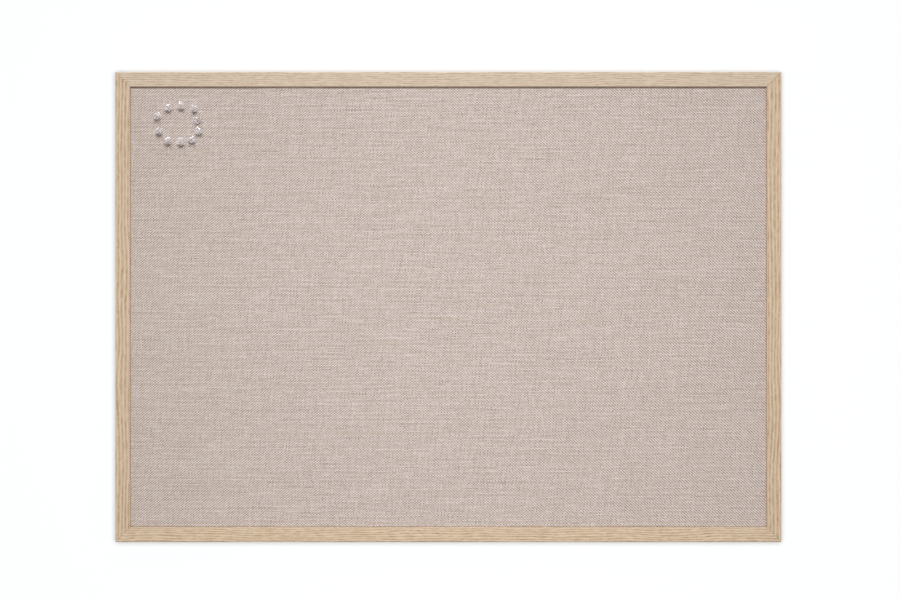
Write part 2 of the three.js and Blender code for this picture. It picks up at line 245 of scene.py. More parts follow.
board_lamps = [
    softbox("right_softbox", RIGHT_PLACE, SIDE_SIZE, RIGHT_WATTS, SIDE_AIM, SIDE_SPREAD),
    softbox("left_softbox", LEFT_PLACE, SIDE_SIZE, LEFT_WATTS, SIDE_AIM, SIDE_SPREAD),
    softbox("rear_softbox", REAR_PLACE, REAR_SIZE, REAR_WATTS),
]
print("Lit by", len(board_lamps), "lamps")

# %% [markdown]
# ## World
# The world has two strengths. As light on the board it is dim and warm, and only fills the
# shadows. Where it is seen, by the camera or in metal and plastic, it is plain white. The Light
# Path node tells the two apart.

# %% World
WORLD_LIGHT = 0.37
WORLD_COLOUR = (1.0, 0.94, 0.885, 1)
WHITE = (1, 1, 1, 1)


def white_world():
    world = bpy.data.worlds.new("white_surroundings")
    world.use_nodes = True
    world.node_tree.nodes.clear()
    shade = Shade(world.node_tree)
    path = shade.node("LightPath", output="Is Camera Ray")
    seen = path + path.other("Is Glossy Ray") + path.other("Is Transmission Ray")
    seen = seen.math("MINIMUM", 1.0)
    strength = seen * (1 - WORLD_LIGHT) + WORLD_LIGHT
    colour = seen.mix(WORLD_COLOUR, WHITE)
    sky = shade.node("Background", {}, {"Color": colour, "Strength": strength})
    shade.node("OutputWorld", {}, {"Surface": sky})
    return world


scene.world = white_world()
print("The world's light is", WORLD_LIGHT, "and it shows as white")

# %% [markdown]
# ## Wall and floor
# The board hangs on a white wall and keeps a soft shadow round its edge. That shadow is short and
# alike on all four sides, so it comes from a broad lamp at the camera. Light linking gives the
# wall that lamp alone, and keeps it off the board. The paint is a mid grey that the lamp and a
# faint glow bring up to white, so the shadow stays pale. Wall and floor are there for the camera
# alone, and from their front only, so a view from behind still shows the board's back.

# %% Paint for the wall and the floor
WALL_PAINT = (0.49, 0.49, 0.49, 1)
WALL_GLOW = (0.94, 0.97, 1.0, 1)
WALL_GLOW_STRENGTH = 0.185
FLOOR_PAINT = (0.85, 0.85, 0.85, 1)
FLOOR_GLOW_STRENGTH = 0.5
MATT = 1.0


def backdrop_finish(name, paint, glow, strength):
    material, shade = new_finish(name)
    behind = shade.node("NewGeometry", output="Backfacing")
    seen = shade.node("LightPath", output="Is Camera Ray") * (1 - behind)
    sockets = {
        "Base Color": paint,
        "Roughness": MATT,
        "Emission Color": glow,
        "Emission Strength": strength,
    }
    painted = shade.node("BsdfPrincipled", {}, sockets)
    nothing = shade.node("BsdfTransparent")
    shown = shade.node("MixShader", {}, {"Fac": seen, 1: nothing, 2: painted})
    shade.node("OutputMaterial", {}, {"Surface": shown})
    return material


wall_finish = backdrop_finish("wall_paint", WALL_PAINT, WALL_GLOW, WALL_GLOW_STRENGTH)
floor_finish = backdrop_finish("floor_paint", FLOOR_PAINT, FLOOR_PAINT, FLOOR_GLOW_STRENGTH)
print("Mixed", wall_finish.name, "and", floor_finish.name)

# %% Wall and floor
WALL_SIZE = 3.2
WALL_GAP = 0.5 * MM
WALL_LAMP_OFFSET = Vector((0.07, -0.3, 0.05))
WALL_LAMP_SIZE = (2.5, 2.5)
WALL_LAMP_WATTS = 307
FLOOR_LEVEL = -0.75
UPRIGHT = 90
LEVEL = 0


def backdrop(name, place, tilt, finish):
    bm = bmesh.new()
    bmesh.ops.create_grid(bm, x_segments=1, y_segments=1, size=WALL_SIZE / 2)
    placed = Matrix.Translation(place) @ Matrix.Rotation(math.radians(tilt), 4, "X")
    bmesh.ops.transform(bm, matrix=placed, verts=bm.verts)
    mesh = bpy.data.meshes.new(name)
    bm.to_mesh(mesh)
    bm.free()
    mesh.materials.append(finish)
    made = bpy.data.objects.new(name, mesh)
    scene.collection.objects.link(made)
    return made


def link_light(lamps, receiver, state):
    """Give lamps a list of one object that they light alone, or leave dark."""
    receivers = bpy.data.collections.new(f"{state}_{receiver.name}")
    receivers.objects.link(receiver)
    receivers.collection_objects[0].light_linking.link_state = state
    for lamp in lamps:
        lamp.light_linking.receiver_collection = receivers


wall = backdrop("wall", (0, WALL_GAP, 0), UPRIGHT, wall_finish)
floor = backdrop("floor", (0, 0, FLOOR_LEVEL), LEVEL, floor_finish)
wall_lamp_place = camera.location + WALL_LAMP_OFFSET
wall_lamp = softbox("wall_lamp", wall_lamp_place, WALL_LAMP_SIZE, WALL_LAMP_WATTS)
link_light(board_lamps, wall, "EXCLUDE")
link_light([wall_lamp], wall, "INCLUDE")
print("The wall is", WALL_SIZE, "m wide, and the floor lies at", floor.data.vertices[0].co.z)

# %% [markdown]
# ## Oak
# The rails are pale oak with a matt lacquer, and the growth rings show as lines along them. Each
# ring is a wave over the distance inwards from the rail's outer edge. Two slow noises bend the
# lines, and a slant through the rail's depth makes its face and its edges one piece of wood. A
# wave alone is too regular, so a noise breaks each ring into dashes, a finer one frays the lines,
# and short dark vessels lie in the late wood. The same formula serves all four rails and turns at
# the mitres. Ring pitch differs, because each rail is cut from another strip. The tones differ
# too, and the bottom rail's are lighter: painted light for the weaker light at the bottom. The
# sight arris is darkened with painted shade.

# %% Oak: tones and grain
# A streak's length along the rail, its width across it, and the layer that keeps noises apart
Streak = namedtuple("Streak", "length width layer")

# Early and late wood of each rail, and the distance from ring to ring
TOP_TONES = (display_colour(226, 208, 186), display_colour(183, 160, 133))
# The bottom rail's tones are lighter: painted light for the weaker light that reaches it
BOTTOM_TONES_WITH_PAINTED_LIGHT = (display_colour(234, 212, 185), display_colour(176, 147, 111))
STILE_TONES = (display_colour(225, 203, 175), display_colour(176, 147, 111))
TOP_PITCH = 2.7 * MM
BOTTOM_PITCH = 2.9 * MM
STILE_PITCH = 4.4 * MM
ROSY = display_colour(210, 183, 160)
VESSEL_BROWN = display_colour(126, 97, 66)

BEND = Streak(0.16, 40 * MM, 1.7)
BEND_DEPTH = 12 * MM
WAVER = Streak(28 * MM, 14 * MM, 7.3)
WAVER_DEPTH = 1.2 * MM
RING_SLANT = 0.8
RING_STEP = 3.37
PORE_LENGTH = 9 * MM
PORE_STEP = (0.35, 0.65)
PORE_SHARE = 0.45
FINE = Streak(14 * MM, 1.7 * MM, 4.1)
FINE_STEP = (0.32, 0.68)
FINE_SHARE = 0.3
PATCH = Streak(60 * MM, 8 * MM, 9.2)
PATCH_STEP = (0.4, 0.65)
ROSY_SHARE = 0.15
VESSEL = Streak(3.6 * MM, 0.4 * MM, 5.9)
VESSEL_STEP = (0.55, 0.7)
VESSEL_SHARE = 0.55
VESSEL_DEPTH = 0.06 * MM
print("Oak has rings", round(TOP_PITCH / MM, 1), "to", round(STILE_PITCH / MM, 1), "mm apart")

# %% Oak: the formula
SIGHT_BAND = (16.6 * MM, 17.4 * MM)
SIGHT_SHARE = 0.3
# Where the sight arris starts, and how dark its painted shade is
ARRIS_SHADE_BAND = (17.5 * MM, 18.1 * MM)
ARRIS_SHADE_SHARE = 0.4
LACQUER_ROUGHNESS = 0.5
GRAIN_ROUGHNESS = 0.12
X, Y, Z = range(3)


def oak(rail):
    material, shade = new_finish("oak_" + rail.node)
    place = shade.node("TexCoord", output="Object").parts()
    along = place[rail.along]
    inwards = (place[rail.inward] - rail.outer_edge) * rail.way
    depth = place[Y]

    def streaks(streak, across):
        """Noise that is drawn out along the rail."""
        layer = depth / streak.width + (rail.strip + streak.layer)
        return shade.vector(along / streak.length, across / streak.width, layer)

    # Growth rings, broken into dashes
    bend = streaks(BEND, inwards).noise() - 0.5
    waver = streaks(WAVER, inwards).noise() - 0.5
    line_place = inwards + depth * RING_SLANT + bend * BEND_DEPTH + waver * WAVER_DEPTH
    rings = line_place / rail.pitch
    late_wood = 0.5 - 0.5 * (rings * math.tau).math("COSINE")
    ring_number = rings.math("FLOOR") * RING_STEP
    pores = shade.vector(along / PORE_LENGTH, ring_number, depth / BEND.width + rail.strip).noise()
    grain = late_wood * (1 - PORE_SHARE + pores.step(*PORE_STEP) * PORE_SHARE)

    # Frayed lines, paler where the face meets the sight edge
    fine = streaks(FINE, line_place).noise().step(*FINE_STEP)
    grain = grain + (fine - grain) * FINE_SHARE
    grain = grain * (1 - inwards.step(*SIGHT_BAND) * SIGHT_SHARE)

    # Colour: rosy patches, painted shade on the sight arris, and the vessels
    patches = streaks(PATCH, inwards).noise().step(*PATCH_STEP)
    vessels = streaks(VESSEL, line_place).noise(detail=0.0).step(*VESSEL_STEP) * grain
    colour = grain.mix(*rail.tones)
    colour = (patches * ROSY_SHARE).mix(colour, ROSY)
    # Painted shade: the sight arris is darkened towards the late wood's tone
    colour = (inwards.step(*ARRIS_SHADE_BAND) * ARRIS_SHADE_SHARE).mix(colour, rail.tones[1])
    colour = (vessels * VESSEL_SHARE).mix(colour, VESSEL_BROWN)
    surface(
        shade,
        Base_Color=colour,
        Roughness=LACQUER_ROUGHNESS + grain * GRAIN_ROUGHNESS,
        Normal=(1 - vessels).bump(VESSEL_DEPTH),
    )
    return material


print("The sight edge starts", round(SIGHT_BAND[0] / MM, 1), "mm inwards")

# %% Oak: four rails
# The axes along a rail and inwards, the way inwards, and the strip that gives it its own grain
Rail = namedtuple("Rail", "node along inward outer_edge way strip tones pitch")


def refinish(node, finish):
    slots = frame["nodes"][node].data.materials
    slots.clear()
    slots.append(finish)


low_corner, high_corner = cad_box
rails = (
    Rail("top_rail", X, Z, high_corner.z, -1, 11.0, TOP_TONES, TOP_PITCH),
    Rail("bottom_rail", X, Z, low_corner.z, 1, 23.0, BOTTOM_TONES_WITH_PAINTED_LIGHT, BOTTOM_PITCH),
    Rail("left_stile", Z, X, low_corner.x, 1, 37.0, STILE_TONES, STILE_PITCH),
    Rail("right_stile", Z, X, high_corner.x, -1, 51.0, STILE_TONES, STILE_PITCH),
)
for rail in rails:
    refinish(rail.node, oak(rail))
print("Oak is on", len(rails), "rails, with dashes", round(PORE_LENGTH / MM, 1), "mm long")

# %% [markdown]
# ## Linen
# The cloth is a plain weave: each yarn goes over one and under the next. Its nearly 200,000
# crossings are too many to model, so they are a formula. Two sine waves across the yarns multiply
# to a checkerboard, which says whether warp or weft is on top. From a few steps away so fine a
# relief hardly shades, so its light and shade are painted into the colour: the crowns are painted
# pale and the gaps are painted shade. The yarns are cream and taupe and vary along their length,
# with some tan and some pale slubs. Each yarn is set off against the one beside it, because broad
# bands would look like stains. A thin line of painted shade runs where the cloth meets the lower
# rail. Cloth that is stretched by hand is never quite square, and the warp leans. The crowns are
# drawn out along one diagonal at the left and along the other at the right. All of it follows the
# piece's own UV map, in metres on the flat cloth, so the weave runs round the folds.

# %% Linen: yarns
# How far along a yarn its tone holds, and the layer that keeps noises apart
Slub = namedtuple("Slub", "length layer")

CREAM = display_colour(251, 239, 232)
TAUPE = display_colour(143, 121, 109)
# The colour of the painted shade in the gaps between yarns
GAP_SHADE = display_colour(146, 128, 119)
TAN_YARN = display_colour(214, 189, 168)
WARP_PITCH = 1.87 * MM
WEFT_PITCH = 1.65 * MM
WARP_LEAN = 0.087
DRIFT_LENGTH = 0.2
DRIFT = 2.5 * MM
CROWN_DIAGONAL_MIDDLE = 0.04
CROWN_DIAGONAL_RATE = 2.3
YARN_STEP = 3.37
BESIDE_SHARE = 0.4
SLUB_DETAIL = 1.0
WARP_FLECK = Slub(2.4 * MM, 2.5)
WEFT_FLECK = Slub(2.4 * MM, 8.5)
WEFT_SLUB = Slub(48 * MM, 4.5)
WEFT_SLUB_SHARE = 1.5
WARP_SLUB = Slub(18 * MM, 6.5)
WARP_SLUB_SHARE = 0.85
TAN_SLUB = Slub(35 * MM, 12.5)
TAN_STEP = (0.5, 0.75)
TAN_SHARE = 0.32
PALE_SLUB = Slub(20 * MM, 16.5)
PALE_STEP = (0.6, 0.75)
PALE_SHARE = 0.42
yarns = (round(10 * MM / pitch, 1) for pitch in (WARP_PITCH, WEFT_PITCH))
print("The weave has", *yarns, "yarns to a centimetre, warp and weft")

# %% Linen: the formula
FACE_WIDTH = 19 * MM
ON_TOP_STEP = (-0.2, 0.2)
MIDDLE_TONE = 0.5
TONE_RANGE = (-0.365, 0.985)
CROWN_PAINTED_LIGHT_SHARE = 0.75
WEFT_SHARE = 0.3
GAP_SHADE_SHARE = 0.8
LOWER_EDGE_SHADE = (0.4 * MM, 1.6 * MM)
LOWER_EDGE_SHADE_SHARE = 0.85
RELIEF = 0.1 * MM
LINEN_ROUGHNESS = 0.9
LINEN_GLOSS = 0.25
LINEN_SHEEN = 0.1
UNFOLDED = "unfolded"

lower_sight_edge = low_corner.z + FACE_WIDTH


def linen():
    material, shade = new_finish("linen")
    across, up, _ = shade.node("UVMap", {"uv_map": UNFOLDED}, output="UV").parts()

    def along_yarn(place, yarn, slub):
        return shade.vector(place / slub.length, yarn, slub.layer).noise(detail=SLUB_DETAIL)

    def uneven(place, yarn, slub):
        """How pale a yarn is along its length, set off against the yarn beside it."""
        own = along_yarn(place, yarn, slub) - 0.5
        beside = along_yarn(place, yarn - YARN_STEP, slub) - 0.5
        return own - beside * BESIDE_SHARE

    # Which yarn each place is on, and which one is on top there
    drift = (shade.vector(across / DRIFT_LENGTH, up / DRIFT_LENGTH, 0.0).noise() - 0.5) * DRIFT
    warp = (across - up * WARP_LEAN + drift) / WARP_PITCH
    weft = (up + drift) / WEFT_PITCH
    warp_number = warp.math("FLOOR") * YARN_STEP
    weft_number = weft.math("FLOOR") * YARN_STEP
    warp_turn = warp * math.pi
    weft_turn = weft * math.pi
    weft_wave = weft_turn.math("SINE")
    crossing = warp_turn.math("SINE") * weft_wave
    weft_on_top = crossing.step(*ON_TOP_STEP)
    # How far the crowns are drawn out towards one diagonal, changing from left to right
    crown_diagonal = CROWN_DIAGONAL_MIDDLE - across * CROWN_DIAGONAL_RATE
    crowns = crossing + warp_turn.math("COSINE") * weft_turn.math("COSINE") * crown_diagonal

    # How pale the yarn on top is, with the crowns' light and shade painted in
    warp_fleck = uneven(up, warp_number, WARP_FLECK)
    weft_fleck = uneven(across, weft_number, WEFT_FLECK)
    fleck = warp_fleck + (weft_fleck - warp_fleck) * weft_on_top
    weft_slub = uneven(across, weft_number, WEFT_SLUB) * weft_on_top
    warp_slub = uneven(up, warp_number, WARP_SLUB) * (1 - weft_on_top)
    # Painted light and shade: the crowns' height lightens and darkens the tone
    tone = MIDDLE_TONE + crowns * CROWN_PAINTED_LIGHT_SHARE + (0.5 - weft_on_top) * WEFT_SHARE + fleck
    tone = tone + weft_slub * WEFT_SLUB_SHARE + warp_slub * WARP_SLUB_SHARE

    # Colour: tan and pale slubs, then painted shade in the gaps and along the lower rail
    colour = tone.step(*TONE_RANGE).mix(TAUPE, CREAM)
    tan = along_yarn(across, weft_number, TAN_SLUB).step(*TAN_STEP)
    colour = (tan * TAN_SHARE).mix(colour, TAN_YARN)
    pale = along_yarn(across, weft_number, PALE_SLUB).step(*PALE_STEP)
    colour = (pale * PALE_SHARE).mix(colour, CREAM)
    # Painted shade in the gaps between the weft yarns
    gap_shade = 1 - weft_wave.math("ABSOLUTE")
    # Painted shade in a thin line where the cloth meets the lower rail
    from_edge = (up - lower_sight_edge).math("ABSOLUTE")
    lower_edge_shade = 1 - from_edge.step(*LOWER_EDGE_SHADE)
    # Both kinds of painted shade: in the gaps and along the lower rail
    dark = (gap_shade * GAP_SHADE_SHARE).math("MAXIMUM", lower_edge_shade * LOWER_EDGE_SHADE_SHARE)
    surface(
        shade,
        Base_Color=dark.mix(colour, GAP_SHADE),
        Roughness=LINEN_ROUGHNESS,
        Specular_IOR_Level=LINEN_GLOSS,
        Sheen_Weight=LINEN_SHEEN,
        Normal=(crowns * (1 + fleck)).bump(RELIEF),
    )
    return material


linen_finish = linen()
print("The linen takes", len(linen_finish.node_tree.nodes), "nodes")

# %% [markdown]
# ## The stretched cover
# The cloth is one sheet. It lies over the panel's front, goes round the four edges and is turned
# in on the back. A cloth simulation would find no folds in a sheet as taut as this, so it is built
# as it lies. A grid of one face is the front, and its border is extruded back and then inwards.
# Each corner of each face gets the place that it had on the flat cloth as its UV. Then the folds
# are bevelled, and a Solidify modifier gives the cloth its thickness.

# %% The stretched cover: places on the flat cloth
cover_low, cover_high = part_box("fabric_cover")
cover_size = cover_high - cover_low
cover_middle = (cover_low + cover_high) / 2
FACING_FRONT = -1


def flat_place(point, face):
    """Where a point of the cover was before the cloth was folded."""
    if round(face.normal.y) == FACING_FRONT:
        return point.x, point.z
    middle = face.calc_center_median()
    past_x = abs(middle.x) - cover_size.x / 2
    past_z = abs(middle.z) - cover_size.z / 2
    beyond = point.y - cover_low.y
    if past_x > past_z:
        beyond += cover_size.x / 2 - abs(point.x)
        return math.copysign(cover_size.x / 2 + beyond, middle.x), point.z
    beyond += cover_size.z / 2 - abs(point.z)
    return point.x, math.copysign(cover_size.z / 2 + beyond, middle.z)


print("The cover is", [round(side / MM, 1) for side in cover_size], "mm")

# %% The stretched cover: the folded sheet
FOLD_RADIUS = 1.0 * MM
TURN_IN = 28 * MM
FOLD_STEPS = 4


def border(bm):
    return [edge for edge in bm.edges if edge.is_boundary]


def verts_of(geometry):
    return [item for item in geometry if isinstance(item, bmesh.types.BMVert)]


def extruded_border(bm):
    return verts_of(bmesh.ops.extrude_edge_only(bm, edges=border(bm))["geom"])


def cover_shell():
    bm = bmesh.new()
    bmesh.ops.create_grid(bm, x_segments=1, y_segments=1, size=0.5)
    bmesh.ops.scale(bm, vec=(cover_size.x, cover_size.z, 1), verts=bm.verts)
    stood_up = Matrix.Rotation(math.radians(90), 4, "X")
    at_front = Matrix.Translation((cover_middle.x, cover_low.y, cover_middle.z))
    bmesh.ops.transform(bm, matrix=at_front @ stood_up, verts=bm.verts)
    folds = border(bm)
    sides = extruded_border(bm)
    bmesh.ops.translate(bm, vec=(0, cover_size.y, 0), verts=sides)
    folds += border(bm)
    hem = extruded_border(bm)
    narrower = (1 - 2 * TURN_IN / cover_size.x, 1, 1 - 2 * TURN_IN / cover_size.z)
    bmesh.ops.scale(bm, vec=narrower, space=Matrix.Translation(-cover_middle), verts=hem)
    bmesh.ops.recalc_face_normals(bm, faces=bm.faces)
    unfolded = bm.loops.layers.uv.new(UNFOLDED)
    for face in bm.faces:
        for loop in face.loops:
            loop[unfolded].uv = flat_place(loop.vert.co, face)
    rounded = bmesh.ops.bevel(
        bm,
        geom=folds,
        offset=FOLD_RADIUS,
        affect="EDGES",
        segments=FOLD_STEPS,
        profile=0.5,
        material=-1,
    )
    for face in rounded["faces"]:
        face.smooth = True
    return bm


print("The cloth is turned in by", round(TURN_IN / MM), "mm")

# %% The stretched cover: the piece
CLOTH = 0.8 * MM
INWARDS = -1


def piece(name, bm, finish, body, slot, *replaced):
    """Make an object of a bmesh, which rides on a body and stands for nodes of the frame."""
    mesh = bpy.data.meshes.new(name)
    bm.to_mesh(mesh)
    bm.free()
    mesh.materials.append(finish)
    made = bpy.data.objects.new(name, mesh)
    scene.collection.objects.link(made)
    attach(made, body)
    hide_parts(*replaced)
    return made


cover = piece("woven_cover", cover_shell(), linen_finish, "board", "linen", "fabric_cover")
thickness = cover.modifiers.new("cloth_thickness", "SOLIDIFY")
thickness.thickness = CLOTH
thickness.offset = INWARDS

# %% [markdown]
# ## Clear plastic
# The pins are moulded in clear acrylic. A Principled shader with full transmission bends the light
# as the real plastic does. Moulded plastic is never quite clear, so half of it is a cloudier copy
# of the same shader, and handling leaves faint scuffs in the roughness. Light that falls through
# a real pin is gathered, and a dark crescent stays below its low rim. A path tracer hardly finds
# such light, so the pin lets shadow rays through, apart from the low rim. To rays from the cloth
# that rim is a dark matt surface, which paints shade on the cloth under it. A UV map gives each
# place on a pin its height above the pin's axis and along it.

# %% Clear plastic
CLEAR = display_colour(250, 247, 249)
CLEAR_ROUGHNESS = 0.05
CLOUDY_ROUGHNESS = 0.32
CLOUDY_SHARE = 0.5
COAT_ROUGHNESS = 0.08
ACRYLIC_IOR = 1.49
SCUFFS_PER_METRE = 900.0
SCUFF_STEP = (0.45, 0.8)
SCUFF_ROUGHNESS = 0.05
CLEAR_SHADOW = 0.9
RIM_PAINTED_SHADE = display_colour(60, 44, 36)
RIM_SHADOW = (-2.5 * MM, -0.6 * MM)
LOW_SHADOW = (6.5 * MM, 9.5 * MM)
GRAIN_DETAIL = 3.0
TURNED = "turned"


def clear_plastic():
    material, shade = new_finish("clear_plastic")
    place = shade.node("TexCoord", output="Object")
    scuffs = place.noise(SCUFFS_PER_METRE, GRAIN_DETAIL).step(*SCUFF_STEP)
    above, along, _ = shade.node("UVMap", {"uv_map": TURNED}, output="UV").parts()
    low_rim = (1 - above.step(*RIM_SHADOW)) * (1 - along.step(*LOW_SHADOW))
    shadow_ray = shade.node("LightPath", output="Is Shadow Ray")
    from_cloth = shadow_ray.other("Is Diffuse Ray")
    sockets = {
        "Base Color": CLEAR,
        "IOR": ACRYLIC_IOR,
        "Coat Weight": 1.0,
        "Coat Roughness": COAT_ROUGHNESS,
        "Transmission Weight": 1.0,
        "Alpha": 1 - shadow_ray * (1 - low_rim) * CLEAR_SHADOW,
    }
    scuffed = CLEAR_ROUGHNESS + scuffs * SCUFF_ROUGHNESS
    clear = shade.node("BsdfPrincipled", {}, {**sockets, "Roughness": scuffed})
    cloudy = shade.node("BsdfPrincipled", {}, {**sockets, "Roughness": CLOUDY_ROUGHNESS})
    moulded = shade.node("MixShader", {}, {"Fac": CLOUDY_SHARE, 1: clear, 2: cloudy})
    # Painted shade: rays from the cloth see the low rim as dark matt, which darkens the cloth under
    # it
    dark = shade.node("BsdfPrincipled", {}, {"Base Color": RIM_PAINTED_SHADE, "Roughness": MATT})
    shown = shade.node("MixShader", {}, {"Fac": from_cloth * low_rim, 1: moulded, 2: dark})
    shade.node("OutputMaterial", {}, {"Surface": shown})
    return material


clear_finish = clear_plastic()
print("The plastic bends light by", ACRYLIC_IOR)

# %% [markdown]
# ## Bright metal
# The needles, screws and points are bright steel, and the hangers and nails are plated with zinc.
# Both are the same finish in other tones. A metal without spots looks like a mirror in a picture,
# so a noise mottles its colour and its roughness.

# %% Bright metal
STEEL_DARK = display_colour(160, 161, 164)
STEEL_LIGHT = display_colour(205, 206, 208)
STEEL_SPOT = 0.8 * MM
STEEL_ROUGHNESS = 0.25
ZINC_DARK = display_colour(172, 168, 158)
ZINC_LIGHT = display_colour(214, 211, 202)
ZINC_SPOT = 2.5 * MM
ZINC_ROUGHNESS = 0.3
SPOT_STEP = (0.3, 0.7)
SPOT_ROUGHNESS = 0.15
SPOT_RELIEF = 0.01 * MM


def bright_metal(name, dark, light, spot, roughness):
    material, shade = new_finish(name)
    spots = shade.node("TexCoord", output="Object").noise(1 / spot, GRAIN_DETAIL).step(*SPOT_STEP)
    surface(
        shade,
        Base_Color=spots.mix(dark, light),
        Metallic=1.0,
        Roughness=roughness + spots * SPOT_ROUGHNESS,
        Normal=spots.bump(SPOT_RELIEF),
    )
    return material


steel_finish = bright_metal("steel", STEEL_DARK, STEEL_LIGHT, STEEL_SPOT, STEEL_ROUGHNESS)
zinc_finish = bright_metal("zinc", ZINC_DARK, ZINC_LIGHT, ZINC_SPOT, ZINC_ROUGHNESS)
print("Made", steel_finish.name, "and", zinc_finish.name)

# %% [markdown]
# ## Push pins
# A pin's head is a spool: a flange to push on, a waist for the fingers and a thick cap with a low
# dome. Joined cylinders would leave hard steps, so its outline is drawn once and spun, with flares
# that are Bezier curves. Each pin's place and lean come from the frame: its slide joint gives the
# axis, and the needle gives the place.

# %% Push pins: outlines
HEAD_HEIGHT = 12 * MM
FLANGE_RADIUS = 4.8 * MM
FLANGE_THICKNESS = 1.3 * MM
SHOULDER_RADIUS = 3.3 * MM
WAIST_RADIUS = 2.4 * MM
CAP_RADIUS = 4.5 * MM
CAP_THICKNESS = 2.1 * MM
CAP_DOME = 0.9 * MM
FLARE = 2.4 * MM
RIM = 0.4 * MM
NEEDLE_RADIUS = 0.55 * MM
NEEDLE_LENGTH = 9.8 * MM
NEEDLE_IN_HEAD = 7 * MM
NEEDLE_TIP = 2.2 * MM
BORE_GAP = 0.03 * MM
CURVE_STEPS = 8


def flare(start, corner, end):
    """Points of a curve that leaves start towards the corner and comes to end from it."""
    ends = [Vector((*point, 0)) for point in (start, corner, end)]
    points = interpolate_bezier(ends[0], ends[1], ends[1], ends[2], CURVE_STEPS + 1)
    return [(point.x, point.y) for point in points]


def head_outline():
    """Radius and height from the end of the needle's bore to the top of the cap."""
    bore = NEEDLE_RADIUS + BORE_GAP
    bore_end = NEEDLE_IN_HEAD + BORE_GAP
    flange, waist, cap = FLANGE_RADIUS, WAIST_RADIUS, CAP_RADIUS
    flange_top = FLANGE_THICKNESS
    under_cap = HEAD_HEIGHT - CAP_THICKNESS
    cap_edge = HEAD_HEIGHT - CAP_DOME
    return [
        (0, bore_end),
        (bore, bore_end),
        (bore, 0),
        *flare((flange - RIM, 0), (flange, 0), (flange, RIM)),
        *flare((flange, flange_top - RIM), (flange, flange_top), (flange - RIM, flange_top)),
        *flare((SHOULDER_RADIUS, flange_top), (waist, flange_top), (waist, flange_top + FLARE)),
        *flare((waist, under_cap - FLARE), (waist, under_cap), (cap - RIM, under_cap)),
        (cap, under_cap + RIM),
        *flare((cap, cap_edge - RIM), (cap, cap_edge), (cap - RIM, cap_edge)),
        *flare((cap - RIM, cap_edge), (cap / 2, HEAD_HEIGHT), (0, HEAD_HEIGHT)),
    ]


def needle_outline():
    return [
        (0, -NEEDLE_LENGTH),
        (NEEDLE_RADIUS, NEEDLE_TIP - NEEDLE_LENGTH),
        (NEEDLE_RADIUS, NEEDLE_IN_HEAD),
        (0, NEEDLE_IN_HEAD),
    ]


print("A head's outline has", len(head_outline()), "points")

# %% Push pins: turning
TURN_STEPS = 48
MERGE_DISTANCE = 0.001 * MM
SHARP_ANGLE = math.radians(50)


def turned(outline):
    """Spin an outline of (radius, height) points about Z into a closed solid."""
    bm = bmesh.new()
    chain = [bm.verts.new((radius, 0, height)) for radius, height in outline]
    for start, end in zip(chain, chain[1:]):
        bm.edges.new((start, end))
    bmesh.ops.spin(
        bm,
        geom=bm.verts[:] + bm.edges[:],
        axis=(0, 0, 1),
        cent=(0, 0, 0),
        angle=math.tau,
        steps=TURN_STEPS,
        use_merge=True,
    )
    bmesh.ops.remove_doubles(bm, verts=bm.verts, dist=MERGE_DISTANCE)
    bmesh.ops.recalc_face_normals(bm, faces=bm.faces)
    layer = bm.loops.layers.uv.new(TURNED)
    for face in bm.faces:
        for loop in face.loops:
            loop[layer].uv = loop.vert.co.yz
    return bm


def smoothed(made):
    """Shade a piece smoothly, apart from its sharp edges."""
    made.data.shade_smooth()
    made.data.set_sharp_from_angle(angle=SHARP_ANGLE)
    return made


print("Turned pieces have", TURN_STEPS, "sides")

# %% Push pins: ten in the cloth
PIN_COUNT = 10
joints = {joint["name"]: joint for joint in frame["joints"]}
pin_parts = (
    ("head", head_outline(), clear_finish, "clear_plastic"),
    ("needle", needle_outline(), steel_finish, "steel"),
)


def pin_place(number):
    """A matrix that takes a pin from upright on the origin to its place in the cloth."""
    axis = Vector(joints[f"pin_{number:02d}_pull"]["axis"])
    needle = frame["nodes"][f"push_pin_{number:02d}_needle"]
    points = [vert.co for vert in needle.data.vertices]
    middle = sum(points, Vector()) / len(points)
    top = max(point.dot(axis) for point in points)
    seat = middle + axis * (top - NEEDLE_IN_HEAD - middle.dot(axis))
    lean = Vector((0, 0, 1)).rotation_difference(axis).to_matrix().to_4x4()
    return Matrix.Translation(seat) @ lean


def push_pin(number):
    body = f"push_pin_{number:02d}"
    place = pin_place(number)
    for part, outline, finish, slot in pin_parts:
        bm = turned(outline)
        bmesh.ops.transform(bm, matrix=place, verts=bm.verts)
        smoothed(piece(f"pin_{part}_{number:02d}", bm, finish, body, slot, f"{body}_{part}"))


for number in range(1, PIN_COUNT + 1):
    push_pin(number)
print("Placed", PIN_COUNT, "push pins")

# %% [markdown]
# ## Panel boards and metal fittings
# Behind the cloth lie a soft fibreboard core and a thin brown hardboard. Steel points hold them
# in the rebate, and zinc-plated nails hold the mitres. Their shapes are right as they are, so
# they only get finishes. The boards are pressed from fibres: a noise that is bent by its own
# curls looks like felt, and a slower one clouds it.

# %% Panel boards and metal fittings
FIBRE_DARK = display_colour(146, 116, 82)
FIBRE_LIGHT = display_colour(186, 158, 120)
FIBRE_SIZE = 1.6 * MM
FIBRE_ROUGHNESS = 0.95
BOARD_DARK = display_colour(108, 76, 50)
BOARD_LIGHT = display_colour(138, 101, 69)
BOARD_FIBRE_SIZE = 0.9 * MM
BOARD_ROUGHNESS = 0.6
FELT_CURL = 2.5
FELT_DETAIL = 4.0
FELT_STEP = (0.25, 0.75)
FELT_ROUGHNESS = 0.1
FELT_RELIEF = 0.05 * MM
CLOUD_SIZE = 30 * MM
CLOUD_STEP = (0.3, 0.7)
CLOUD_SHARE = 0.22


